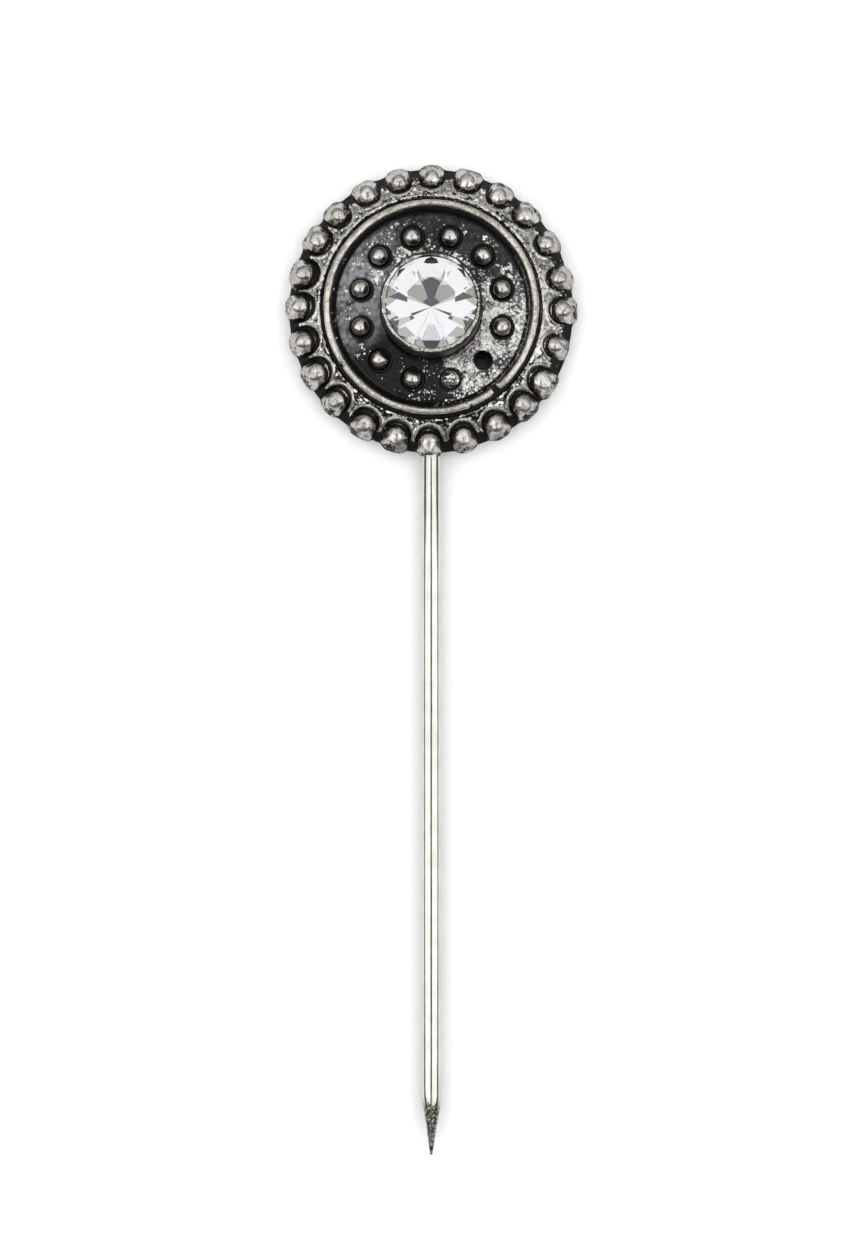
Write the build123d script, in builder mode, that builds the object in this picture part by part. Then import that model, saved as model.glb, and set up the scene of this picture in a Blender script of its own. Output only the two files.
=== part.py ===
from build123d import *
import os
from math import asin, atan, cos, degrees, radians, sin, tan

# Hat pin: a round cast head with a beaded border, a ring of riveted bead studs around a pointed-back
# crystal in a turned cup, and a straight steel wire shaft with a ground point.
#
# Frame: millimetres, at real size. The pin lies on its back. The origin is the centre of the back
# plate's outer face, +Z comes out of the head's face through the crystal, and the shaft runs along -Y.
# Clock angles are in degrees, clockwise from +Y as seen from the face.

# ---------------------------------------------------------------- driving dimensions
# Shaft
shaft_diameter = 1.3
shaft_length = 52.8
shaft_end_chamfer = 0.12
shaft_step = 0.2             # radial, where the end inside the head is swaged down
shaft_shoulder_gap = 0.03    # from the head's outline to the shoulder
shaft_inner_end = 2.2        # from the head's axis to the soldered end
point_length = 3.5
point_tip_radius = 0.08
shaft_clearance = 0.03       # radial, in the casting's bore

# Head outline and border lobes
head_diameter = 19.05        # over the lobes
lobe_count = 24
lobe_reach = 0.33            # how far a lobe stands out of the rim
lobe_nose_radius = 0.64
lobe_wall = 0.25             # of a lobe around the shaft, at the lobe's widest
lobe_height = 0.8            # from the nose's centre down to the widest section
lobe_tilt = 12.0             # degrees, how the lobe's axis leans
lobe_proud = 0.18            # how far a lobe's top stands above the field
lobe_foot_taper = 0.3        # how much a lobe narrows from its base to its foot
moat_width = 0.2
moat_depth = 0.2             # below the border's slope
rim_drop = 0.15              # from the shaft's axis down to the rim's edge
rim_chamfer = 0.25
border_bulge = 0.08          # how far the border's slope is crowned

# Back plate and the cavity behind the face
plate_diameter = 16.4
plate_thickness = 0.4
plate_chamfer = 0.08
plate_clearance = 0.04       # radial, in the casting's rebate
cavity_diameter = 13.2
shaft_headroom = 0.06        # from the shaft up to the web

# Field, enamel and field ring
web_thickness = 0.36
field_diameter = 12.3
enamel_thickness = 0.12
enamel_gap = 0.1             # around each stud's hole and the stone cup
ring_diameter = 13.4         # at the middle of the wire
ring_wire_diameter = 0.52
ring_land_height = 0.32      # of the lands beside the ring, above the field
ring_land_width = 0.13       # outside the ring's groove
ring_sink = 0.13             # how deep the wire sits in its groove
ring_clearance = 0.02
ring_gap = 0.3               # between the wire's two ends
ring_gap_clock = 142.0

# Bead studs, pushed through the web from behind
stud_places = 12
lost_stud = 5
crushed_stud = 6
stud_ring_diameter = 9.46
stud_diameter = 1.2
stud_rise = 0.6              # top of a bead above the enamel
stud_flange_diameter = 1.6
stud_flange_thickness = 0.2
stud_clearance = 0.05        # radial, in the web's hole
crushed_rise = 0.34
crushed_lump_rise = 0.11     # middles of the lumps above the enamel
crushed_lumps = ((0.42, 250.0, 0.2), (0.38, 20.0, 0.17))   # distance, clock angle and radius

# Crystal, foil and cement
stone_diameter = 6.0
stone_facets = 8
table_ratio = 0.5
crown_height = 0.75
girdle_height = 0.1
pavilion_angle = 41.0
stone_rise = 1.8             # underside of the girdle above the field
foil_thickness = 0.03
cement_thickness = 0.08
girdle_gap = 0.08            # radial, between the girdle and the cup

# Stone cup
cup_wall = 0.2
cup_seat_depth = 0.1
cup_clearance = 0.02
cup_lip_overlap = 0.1        # over the girdle
cup_lip_thickness = 0.12
cup_lip_gap = 0.06           # above the highest point of the girdle
cup_hub_diameter = 3.0
cup_floor = 0.4

# Solder
solder_length = 4.4
solder_width = 2.6
solder_height = 0.75
solder_taper = 28.0

# ---------------------------------------------------------------- derived sizes
shaft_radius = shaft_diameter / 2
shaft_seat_radius = shaft_radius - shaft_step
shaft_z = plate_thickness + shaft_radius
head_radius = head_diameter / 2
rim_radius = head_radius - lobe_reach
rim_height = shaft_z - rim_drop

web_under_z = shaft_z + shaft_radius + shaft_headroom
field_z = web_under_z + web_thickness
enamel_z = field_z + enamel_thickness
lobe_top = field_z + lobe_proud
lobe_base_radius = shaft_radius + lobe_wall
lobe_foot_radius = lobe_base_radius - lobe_foot_taper
field_radius = field_diameter / 2

ring_radius = ring_diameter / 2
ring_wire_radius = ring_wire_diameter / 2
land_z = field_z + ring_land_height
ring_wire_z = land_z - ring_sink + ring_wire_radius
groove_radius = ring_wire_radius + ring_clearance
groove_half_angle = asin((ring_wire_z - land_z) / groove_radius)
groove_half_width = groove_radius * cos(groove_half_angle)
land_radius = ring_radius + groove_half_width + ring_land_width

stud_ring_radius = stud_ring_diameter / 2
stud_radius = stud_diameter / 2
stud_hole_radius = stud_radius + stud_clearance

stone_radius = stone_diameter / 2
girdle_z = field_z + stone_rise
crown_angle = degrees(atan(crown_height / (stone_radius * (1 - table_ratio))))
corner_ratio = cos(radians(180 / stone_facets))
corner_slope = corner_ratio * tan(radians(pavilion_angle))
culet_z = girdle_z - stone_radius * tan(radians(pavilion_angle))
girdle_top_z = girdle_z + girdle_height
girdle_corner_z = girdle_top_z + stone_radius * (1 - corner_ratio) * tan(radians(crown_angle))

pocket_radius = stone_radius + girdle_gap
pocket_apex_z = culet_z - (foil_thickness + cement_thickness) * (1 + corner_slope**2) ** 0.5
pocket_shoulder_z = pocket_apex_z + pocket_radius * corner_slope
cup_radius = pocket_radius + cup_wall
cup_seat_z = field_z - cup_seat_depth
cup_lip_z = girdle_corner_z + cup_lip_gap
cup_top_z = cup_lip_z + cup_lip_thickness
cup_hub_radius = cup_hub_diameter / 2
cup_seat_radius = cup_radius + cup_clearance


def clock_point(radius, clock, z=0.0):
    """The point at a radius and a clock angle around the head's axis."""
    return Vector(radius * sin(radians(clock)), radius * cos(radians(clock)), z)


def radial_plane(clock):
    """A sketch plane through the head's axis: local x runs outwards at that clock angle, local y up."""
    outwards = clock_point(1, clock)
    return Plane(origin=(0, 0, 0), x_dir=outwards, z_dir=outwards.cross(Vector(0, 0, 1)))


def save(part, name):
    part.label = name
    export_step(part, f"parts/{name}.step")


os.makedirs("parts", exist_ok=True)

# ---------------------------------------------------------------- head casting
# A lobe is a round-topped cone that leans towards the head's axis and is widest at its base.
lean = radians(lobe_tilt)
nose_centre = Vector(
    head_radius - lobe_height * sin(lean) - lobe_base_radius * cos(lean), 0, lobe_top - lobe_nose_radius
)
lobe_plane = Plane(origin=nose_centre, x_dir=(cos(lean), 0, sin(lean)), z_dir=(0, -1, 0))
lobe_axis = Axis(nose_centre, lobe_plane.y_dir)
foot_depth = nose_centre.Z / cos(lean)

with BuildPart() as lobe:
    with BuildSketch(lobe_plane):
        with BuildLine():
            nose = CenterArc((0, 0), lobe_nose_radius, 0, 90)
            Polyline(
                nose @ 1,
                (0, -foot_depth),
                (lobe_foot_radius, -foot_depth),
                (lobe_base_radius, -lobe_height),
                nose @ 0,
            )
        make_face()
    revolve(axis=lobe_axis)
    split(bisect_by=Plane.XY.offset(rim_chamfer), keep=Keep.TOP)

# The moat is a wider cone, open at the top, that stops a little below the border's slope.
moat_open_height = 2 * lobe_top
slope_start = Vector(rim_radius, 0, rim_height)
slope_end = Vector(land_radius, 0, land_z)
slope_out = Vector(slope_end.Z - slope_start.Z, 0, slope_start.X - slope_end.X).normalized()
moat_plane = Plane(origin=slope_start - slope_out * moat_depth, x_dir=(0, 1, 0), z_dir=slope_out)
with BuildPart() as moat:
    with BuildSketch(lobe_plane):
        with BuildLine():
            Polyline(
                (0, moat_open_height),
                (0, -foot_depth),
                (lobe_base_radius + moat_width, -foot_depth),
                (lobe_base_radius + moat_width, -lobe_height),
                (lobe_nose_radius + moat_width, 0),
                (lobe_nose_radius + moat_width, moat_open_height),
                close=True,
            )
        make_face()
    revolve(axis=lobe_axis)
    split(bisect_by=moat_plane, keep=Keep.TOP)

bore_start = cavity_diameter / 4
with BuildPart() as head_casting:
    with BuildSketch(Plane.XZ):
        with BuildLine():
            outside = Polyline(
                (cup_hub_radius + cup_clearance, cup_seat_z),
                (cup_hub_radius + cup_clearance, 0),
                (rim_radius - rim_chamfer, 0),
                (rim_radius, rim_chamfer),
                (rim_radius, rim_height),
            )
            slope_middle = (slope_start + slope_end) * 0.5 + slope_out * border_bulge
            slope = ThreePointArc(outside @ 1, (slope_middle.X, slope_middle.Z), (land_radius, land_z))
            land = Line(slope @ 1, (ring_radius + groove_half_width, land_z))
            groove = ThreePointArc(
                land @ 1,
                (ring_radius, ring_wire_z - groove_radius),
                (ring_radius - groove_half_width, land_z),
            )
            Polyline(
                groove @ 1,
                (field_radius, land_z),
                (field_radius, field_z),
                (cup_seat_radius, field_z),
                (cup_seat_radius, cup_seat_z),
                outside @ 0,
            )
        make_face()
    revolve(axis=Axis.Z)
    with PolarLocations(0, lobe_count):
        add(moat.part, mode=Mode.SUBTRACT)
        add(lobe.part)
    # The hollow behind the face and the back plate's rebate.
    with BuildSketch():
        Circle(cavity_diameter / 2)
    extrude(amount=web_under_z, mode=Mode.SUBTRACT)
    with BuildSketch():
        Circle(plate_diameter / 2 + plate_clearance)
    extrude(amount=plate_thickness, mode=Mode.SUBTRACT)
    # A hole for each stud.
    with BuildSketch(Plane.XY.offset(field_z)):
        with PolarLocations(stud_ring_radius, stud_places, start_angle=180 / stud_places):
            Circle(stud_hole_radius)
    extrude(amount=-web_thickness, mode=Mode.SUBTRACT)
    # The shaft's bore, from inside the hollow out through the rim, under the lowest lobe.
    with BuildSketch(Plane.XZ.offset(bore_start)):
        with Locations((0, shaft_z)):
            Circle(shaft_seat_radius + shaft_clearance)
    extrude(amount=head_radius, mode=Mode.SUBTRACT)
save(head_casting.part, "head_casting")

# ---------------------------------------------------------------- back plate
with BuildPart() as back_plate:
    with BuildSketch():
        Circle(plate_diameter / 2)
    extrude(amount=plate_thickness)
    chamfer(back_plate.edges().group_by(Axis.Z)[0], plate_chamfer)
save(back_plate.part, "back_plate")

# ---------------------------------------------------------------- field enamel
with BuildPart() as field_enamel:
    with BuildSketch(Plane.XY.offset(field_z)):
        Circle(field_radius)
        Circle(cup_seat_radius + enamel_gap, mode=Mode.SUBTRACT)
        with PolarLocations(stud_ring_radius, stud_places, start_angle=180 / stud_places):
            Circle(stud_hole_radius + enamel_gap, mode=Mode.SUBTRACT)
    extrude(amount=enamel_thickness)
save(field_enamel.part, "field_enamel")

# ---------------------------------------------------------------- field ring
ring_gap_angle = degrees(ring_gap / ring_radius)
with BuildPart() as field_ring:
    with BuildSketch(radial_plane(ring_gap_clock - ring_gap_angle / 2)):
        with Locations((ring_radius, ring_wire_z)):
            Circle(ring_wire_radius)
    revolve(axis=Axis.Z, revolution_arc=360 - ring_gap_angle)
save(field_ring.part, "field_ring")


# ---------------------------------------------------------------- bead studs
def bead_stud(place):
    """A ball-ended pin with a flange behind the web. The crushed one has a low, lumpy head."""
    centre = clock_point(stud_ring_radius, (place - 0.5) * 360 / stud_places)
    top_z = enamel_z + (crushed_rise if place == crushed_stud else stud_rise)
    cap_z = max(field_z, top_z - stud_radius)
    with BuildPart() as stud:
        with BuildSketch(Plane(origin=centre, x_dir=(1, 0, 0), z_dir=(0, -1, 0))):
            with BuildLine():
                Polyline(
                    (0, top_z),
                    (0, web_under_z - stud_flange_thickness),
                    (stud_flange_diameter / 2, web_under_z - stud_flange_thickness),
                    (stud_flange_diameter / 2, web_under_z),
                    (stud_radius, web_under_z),
                    (stud_radius, cap_z),
                )
                TangentArc((0, top_z), (stud_radius, cap_z), tangent=(1, 0))
            make_face()
        revolve(axis=Axis(centre, (0, 0, 1)))
        if place == crushed_stud:
            for distance, clock, radius in crushed_lumps:
                with Locations(centre + clock_point(distance, clock, enamel_z + crushed_lump_rise)):
                    Sphere(radius)
    return stud.part


for place in range(1, stud_places + 1):
    if place != lost_stud:
        save(bead_stud(place), f"bead_stud_{place:02d}")


# ---------------------------------------------------------------- crystal and foil
def facet_plane(clock, angle, z, grow):
    """A facet that meets the girdle's edge at its middle and leans in by angle, moved out by grow."""
    normal = clock_point(sin(radians(angle)), clock, cos(radians(angle)))
    return Plane(origin=clock_point(stone_radius, clock, z) + normal * grow, z_dir=normal)


def cut_stone(grow):
    """The faceted stone, or with grow the stone and a coat of that thickness."""
    with BuildPart() as stone:
        with BuildSketch(Plane.XY.offset(culet_z - 2 * grow)):
            Circle(stone_radius + grow)
        extrude(amount=girdle_top_z + crown_height + grow - culet_z + 2 * grow)
        for facet in range(stone_facets):
            clock = facet * 360 / stone_facets
            split(bisect_by=facet_plane(clock, crown_angle, girdle_top_z, grow), keep=Keep.BOTTOM)
            split(bisect_by=facet_plane(clock, 180 - pavilion_angle, girdle_z, grow), keep=Keep.BOTTOM)
    return stone.part


crystal = cut_stone(0)
save(crystal, "crystal")

with BuildPart() as crystal_foil:
    add(cut_stone(foil_thickness))
    split(bisect_by=Plane.XY.offset(girdle_z), keep=Keep.BOTTOM)
    add(crystal, mode=Mode.SUBTRACT)
save(crystal_foil.part, "crystal_foil")

# ---------------------------------------------------------------- stone cup and cement
with BuildPart() as stone_cup:
    with BuildSketch(Plane.XZ):
        with BuildLine():
            inside = Polyline(
                (stone_radius - cup_lip_overlap, cup_top_z),
                (stone_radius - cup_lip_overlap, cup_lip_z),
                (pocket_radius, cup_lip_z),
                (pocket_radius, pocket_shoulder_z),
                (0, pocket_apex_z),
                (0, pocket_apex_z - cup_floor),
                (cup_hub_radius, pocket_apex_z - cup_floor),
                (cup_hub_radius, cup_seat_z),
                (cup_radius, cup_seat_z),
                (cup_radius, cup_top_z - cup_wall),
            )
            lip = TangentArc(inside @ 1, (cup_radius - cup_wall, cup_top_z), tangent=(0, 1))
            Line(lip @ 1, inside @ 0)
        make_face()
    revolve(axis=Axis.Z)
save(stone_cup.part, "stone_cup")

with BuildPart() as stone_cement:
    with BuildSketch(Plane.XZ):
        with BuildLine():
            Polyline(
                (0, pocket_apex_z),
                (pocket_radius, pocket_shoulder_z),
                (0, pocket_shoulder_z),
                close=True,
            )
        make_face()
    revolve(axis=Axis.Z)
    add(cut_stone(foil_thickness), mode=Mode.SUBTRACT)
save(stone_cement.part, "stone_cement")

# ---------------------------------------------------------------- shaft and solder
tip_y = -(shaft_inner_end + shaft_length)
shoulder = head_radius + shaft_shoulder_gap
shaft_axis = Axis((0, 0, shaft_z), (0, 1, 0))
with BuildPart() as pin_shaft:
    with BuildSketch(Plane.XY.offset(shaft_z)):
        with BuildLine():
            side = Polyline(
                (0, -shaft_inner_end),
                (shaft_seat_radius - shaft_end_chamfer, -shaft_inner_end),
                (shaft_seat_radius, -shaft_inner_end - shaft_end_chamfer),
                (shaft_seat_radius, -shoulder),
                (shaft_radius, -shoulder),
                (shaft_radius, tip_y + point_length),
                (point_tip_radius, tip_y + point_tip_radius),
            )
            tip = TangentArc((0, tip_y), side @ 1, tangent=(1, 0))
            Line(tip @ 0, side @ 0)
        make_face()
    revolve(axis=shaft_axis)
save(pin_shaft.part, "pin_shaft")

with BuildPart() as shaft_solder:
    with BuildSketch(Plane.XY.offset(plate_thickness)):
        with Locations((0, -shaft_inner_end - solder_length / 2)):
            Ellipse(solder_width / 2, solder_length / 2)
    extrude(amount=solder_height, taper=solder_taper)
    add(pin_shaft.part, mode=Mode.SUBTRACT)
save(shaft_solder.part, "shaft_solder")
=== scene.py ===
"""Looks of the hat pin: detailed meshes of worn silver, black enamel, foiled crystal and polished steel.

The meshes are worked out in millimetres in the part's own frame and turned into metres when they are made.
Clock angles are in degrees, clockwise from +Y as seen from the face.
"""

import itertools
from math import cos, pi, radians, sin, tan

import bmesh
import bpy
import numpy as np
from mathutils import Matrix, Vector
from mathutils.geometry import delaunay_2d_cdt


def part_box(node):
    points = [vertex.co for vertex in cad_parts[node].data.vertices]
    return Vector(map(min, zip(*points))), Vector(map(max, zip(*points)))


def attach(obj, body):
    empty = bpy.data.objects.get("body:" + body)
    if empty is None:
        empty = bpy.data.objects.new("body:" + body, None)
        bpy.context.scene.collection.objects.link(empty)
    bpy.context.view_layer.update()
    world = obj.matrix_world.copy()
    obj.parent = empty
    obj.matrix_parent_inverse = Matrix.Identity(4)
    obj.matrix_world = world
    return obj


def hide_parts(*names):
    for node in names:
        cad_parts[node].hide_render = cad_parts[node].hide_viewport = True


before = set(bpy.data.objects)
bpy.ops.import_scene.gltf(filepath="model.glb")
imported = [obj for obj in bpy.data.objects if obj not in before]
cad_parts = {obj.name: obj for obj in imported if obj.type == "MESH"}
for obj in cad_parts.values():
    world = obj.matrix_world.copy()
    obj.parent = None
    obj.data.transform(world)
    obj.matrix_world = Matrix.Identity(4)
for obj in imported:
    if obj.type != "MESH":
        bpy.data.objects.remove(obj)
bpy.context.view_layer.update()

MM = 0.001


# ---- sizes from the frame
def box(node):
    """Lowest and highest corner of a CAD node, in millimetres."""
    low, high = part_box(node)
    return np.array(low) / MM, np.array(high) / MM


head_high = box("head_casting")[1]
plate_high = box("back_plate")[1]
enamel_low, enamel_high = box("field_enamel")
ring_low, ring_high = box("field_ring")
cup_low, cup_high = box("stone_cup")
stone_low, stone_high = box("crystal")
shaft_low, shaft_high = box("pin_shaft")

head_radius = head_high[0]
plate_radius = plate_high[0]
plate_top = plate_high[2]
field_radius = enamel_high[0]
field_z = enamel_low[2]
enamel_z = enamel_high[2]
ring_wire_radius = (ring_high[2] - ring_low[2]) / 2
ring_radius = ring_high[0] - ring_wire_radius
ring_z = (ring_high[2] + ring_low[2]) / 2
land_z = head_high[2]
cup_radius = cup_high[0]
cup_top = cup_high[2]
stone_radius = stone_high[0]
shaft_radius = shaft_high[0]
shaft_z = (shaft_high[2] + shaft_low[2]) / 2
shaft_tip = shaft_low[1]
shaft_end = shaft_high[1]

STUD_PLACES = 12
LOST_STUD = 5
CRUSHED_STUD = 6
BEAD_RADIUS = 0.6
HOLE_RADIUS = 0.65
MOAT_RADIUS = 0.76
LOST_WELL_RADIUS = 0.56
WEB_THICKNESS = 0.36
CAVITY_RADIUS = 6.6

studs = {n: box(f"bead_stud_{n:02d}") for n in range(1, STUD_PLACES + 1) if n != LOST_STUD}
stud_ring_radius = np.hypot(*((studs[1][0] + studs[1][1]) / 2)[:2])
web_under = field_z - WEB_THICKNESS


# ---- small geometry helpers
def on_clock(radius, clock, z=0.0):
    """Points from radii, clock angles and heights, as an array whose last axis is x, y, z."""
    radius, clock, z = np.broadcast_arrays(radius, np.radians(clock), z)
    return np.stack([radius * np.sin(clock), radius * np.cos(clock), z], axis=-1)


def stud_clock(place):
    return (place - 0.5) * 360 / STUD_PLACES


def stud_centre(place):
    return on_clock(stud_ring_radius, stud_clock(place))[:2]


def clock_gap(clock, at):
    """Signed difference between clock angles, from -180 to 180."""
    return (np.asarray(clock) - at + 180) % 360 - 180


def ramp(value, start, end):
    """Smooth step from 0 at start to 1 at end. It falls when end is below start."""
    part = np.clip((np.asarray(value, float) - start) / (end - start), 0, 1)
    return part * part * (3 - 2 * part)


def span(clock, start, end, soft):
    """1 between two clock angles, 0 outside, with soft ends."""
    middle = (start + end) / 2
    return ramp(abs(clock_gap(clock, middle)), (end - start) / 2 + soft, (end - start) / 2 - soft)


def by_clock(clock, stops):
    """Values that pass round the head through stops of (clock angle, value)."""
    angles, values = zip(*stops)
    return np.interp(clock, angles, values, period=360)


def clocks_round(count):
    """Clock angles evenly spaced round a whole turn."""
    return np.arange(count) * 360 / count


def circle(radius, count):
    """Flat points evenly spaced round a circle."""
    return on_clock(radius, clocks_round(count))[:, :2]


def level(flat):
    """Flat points as points in space, at height 0."""
    return np.column_stack([flat, np.zeros(len(flat))])


def ridge(value, middle, width):
    """1 at the middle, and less and less to both sides of it."""
    return np.exp(-(((value - middle) / width) ** 2))


def smooth_max(first, second, sharpness):
    """The larger of two values, with a rounded passage where they cross."""
    return np.logaddexp(first * sharpness, second * sharpness) / sharpness


def noise(points, size, seed):
    """Smooth noise between -1 and 1 at each point, with features of about that size."""
    table = np.random.default_rng(seed).uniform(-1, 1, (64, 64, 64))
    cell = np.asarray(points) / size + 1000.0
    corner = np.floor(cell).astype(int)
    part = cell - corner
    part = part * part * (3 - 2 * part)
    total = 0.0
    for step in itertools.product((0, 1), repeat=3):
        weight = np.prod(np.where(step, part, 1 - part), axis=-1)
        x, y, z = np.moveaxis((corner + step) % 64, -1, 0)
        total = total + weight * table[x, y, z]
    return total


def grid_faces(rows, columns, wrap_rows=False):
    """Quads of a grid whose columns wrap round. Rows wrap too when asked."""
    row = np.arange(rows if wrap_rows else rows - 1)[:, None]
    column = np.arange(columns)[None, :]
    over = (row + 1) % rows
    beside = (column + 1) % columns
    near, far = row * columns, over * columns
    corners = (near + column, far + column, far + beside, near + beside)
    return np.stack([np.broadcast_to(c, (row.size, columns)) for c in corners], axis=-1).reshape(-1, 4)


def add_object(name, data, location=(0, 0, 0)):
    obj = bpy.data.objects.new(name, data)
    obj.location = location
    bpy.context.scene.collection.objects.link(obj)
    return obj


def add_mesh(name, points, faces, wear=None, smooth=True, haze_glare_and_dulling=None):
    """A mesh object from points in millimetres, with each point's wear and a second value as attributes: a
    painted glare on the enamel, and darker, rougher metal on the head.
    """
    mesh = bpy.data.meshes.new(name)
    points = np.asarray(points, float).reshape(-1, 3)
    mesh.from_pydata((points * MM).tolist(), [], [tuple(int(i) for i in face) for face in faces])
    mesh.validate()
    mesh.polygons.foreach_set("use_smooth", [smooth] * len(mesh.polygons))
    for label, values in (("wear", wear), ("haze_glare_and_dulling", haze_glare_and_dulling)):
        if values is not None:
            values = np.clip(np.asarray(values, float).ravel(), 0, 1)
            mesh.attributes.new(label, "FLOAT", "POINT").data.foreach_set("value", values)
    return add_object(name, mesh)


def outward(obj):
    """Turns the faces of a closed mesh outwards."""
    work = bmesh.new()
    work.from_mesh(obj.data)
    bmesh.ops.recalc_face_normals(work, faces=work.faces)
    work.to_mesh(obj.data)
    work.free()
    return obj


def closed_turn(name, points, wear=None):
    """A closed shape from rows of points, each row a ring. The first and the last ring are capped."""
    rows, columns = points.shape[:2]
    faces = grid_faces(rows, columns).tolist()
    faces.append(list(range(columns)))
    faces.append(list(range((rows - 1) * columns, rows * columns)))
    return outward(add_mesh(name, points, faces, wear))


def turned(profile, clocks, centre=(0.0, 0.0)):
    """A profile of (radius, height) turned round an axis: a ring of points for each of its own."""
    profile = np.asarray(profile, float)
    points = on_clock(profile[:, 0][:, None], clocks[None, :], profile[:, 1][:, None])
    points[..., 0] += centre[0]
    points[..., 1] += centre[1]
    return points


def arc_points(centre, radius, start, end, count):
    """Points of an arc in a profile, from one angle to another, in radians."""
    angles = np.linspace(start, end, count)
    return [(centre[0] + radius * cos(a), centre[1] + radius * sin(a)) for a in angles]


# ---- materials
class Recipe:
    """A material's node tree, with short calls for the nodes that the finishes share."""

    def __init__(self, name):
        self.material = bpy.data.materials.new(name)
        self.material.use_nodes = True
        self.tree = self.material.node_tree
        self.tree.nodes.clear()
        self.shader = self.node("ShaderNodeBsdfPrincipled")
        output = self.node("ShaderNodeOutputMaterial")
        self.tree.links.new(self.shader.outputs[0], output.inputs["Surface"])
        self.place = self.node("ShaderNodeTexCoord").outputs["Object"]

    def node(self, kind, inputs=None, **settings):
        made = self.tree.nodes.new(kind)
        for key, value in settings.items():
            setattr(made, key, value)
        for key, value in (inputs or {}).items():
            self.put(made.inputs[key], value)
        return made

    def put(self, socket, value):
        if isinstance(value, bpy.types.NodeSocket):
            self.tree.links.new(value, socket)
        else:
            socket.default_value = value

    def set(self, **values):
        for key, value in values.items():
            self.put(self.shader.inputs[key.replace("_", " ")], value)

    def math(self, operation, first, second=0.0, clamp=False):
        made = self.node("ShaderNodeMath", operation=operation, use_clamp=clamp)
        self.put(made.inputs[0], first)
        self.put(made.inputs[1], second)
        return made.outputs[0]

    def weighted(self, *parts):
        """The sum of (value, share) parts."""
        total, *others = [self.math("MULTIPLY", value, share) for value, share in parts]
        for other in others:
            total = self.math("ADD", total, other)
        return total

    def scale(self, value, low, high):
        """Maps 0..1 to low..high."""
        return self.math("ADD", self.math("MULTIPLY", value, high - low), low)

    def noise(self, size, detail=2.0, rough=0.5, stretch=None):
        """Noise with features of that size in millimetres."""
        place = self.place
        if stretch:
            place = self.node("ShaderNodeMapping", {"Vector": place, "Scale": stretch}).outputs[0]
        inputs = {"Vector": place, "Scale": 1 / (size * MM), "Detail": detail, "Roughness": rough}
        return self.node("ShaderNodeTexNoise", inputs).outputs["Fac"]

    def grains(self, size):
        """Random grains of that size in millimetres: a colour of its own and the distance to its middle."""
        inputs = {"Vector": self.place, "Scale": 1 / (size * MM)}
        return self.node("ShaderNodeTexVoronoi", inputs).outputs

    def painted(self, label):
        """A value that the mesh carries at each point."""
        return self.node("ShaderNodeAttribute", attribute_name=label).outputs["Fac"]

    def vector(self, operation, first, second=None, factor=None):
        made = self.node("ShaderNodeVectorMath", operation=operation)
        self.put(made.inputs[0], first)
        if second is not None:
            self.put(made.inputs[1], second)
        if factor is not None:
            self.put(made.inputs["Scale"], factor)
        return made.outputs[0]

    def colours(self, value, *stops):
        """A colour ramp through (position, (r, g, b)) stops."""
        made = self.node("ShaderNodeValToRGB", {"Fac": value})
        ramp_elements = made.color_ramp.elements
        while len(ramp_elements) < len(stops):
            ramp_elements.new(0.5)
        for element, (position, colour) in zip(ramp_elements, stops):
            element.position = position
            element.color = (*colour, 1)
        return made.outputs["Color"]

    def mix(self, value, first, second):
        made = self.node("ShaderNodeMix", data_type="RGBA")
        self.put(made.inputs[0], value)
        for socket, colour in ((made.inputs[6], first), (made.inputs[7], second)):
            self.put(socket, (*colour, 1) if isinstance(colour, tuple) else colour)
        return made.outputs[2]

    def bump(self, height, depth, strength=1.0, normal=None):
        """Bump whose full height is depth in millimetres."""
        inputs = {"Height": height, "Distance": depth * MM, "Strength": strength}
        if normal is not None:
            inputs["Normal"] = normal
        self.set(Normal=self.node("ShaderNodeBump", inputs).outputs[0])


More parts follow.
